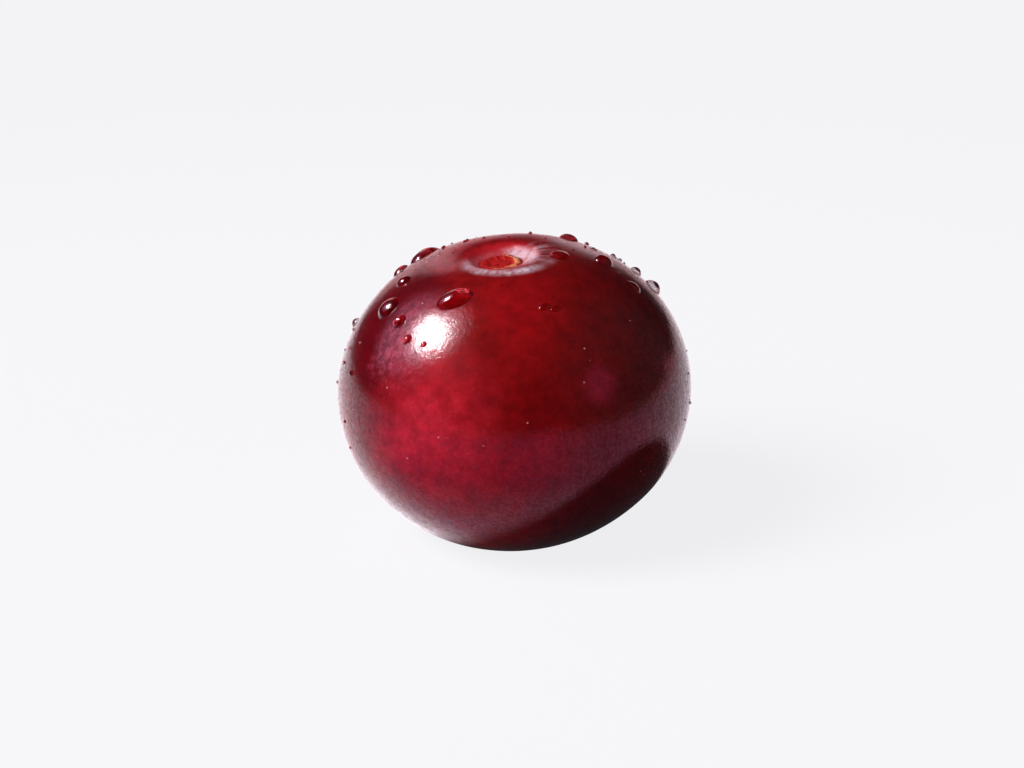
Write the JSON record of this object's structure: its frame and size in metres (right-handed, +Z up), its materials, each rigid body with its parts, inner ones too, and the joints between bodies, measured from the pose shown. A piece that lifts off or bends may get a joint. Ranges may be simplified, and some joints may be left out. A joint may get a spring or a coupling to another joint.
{
  "type": "cranberry",
  "caption": "Whole ripe cranberry: a glossy deep-red, slightly flattened round fruit with a stem scar in a shallow bowl on top, resting on its blossom end.",
  "frame": {"origin": "bottom centre of the berry's bounding box, on the plane of the flat spot that it rests on", "axes": "+Z up, through the flat spot; the stem end is on top, with the berry's own axis leaning 6 degrees towards -Y, the viewer's side, and 5.5 degrees towards -X"},
  "size_m": [0.02, 0.02, 0.0171],
  "materials": {
    "skin": "deep dark-red waxy fruit skin, glossy, faintly mottled, with a paler orange-tan stem scar",
    "water": "clear drops of water on the skin"
  },
  "bodies": {
    "root": {"berry": "skin"}
  },
  "joints": []
}
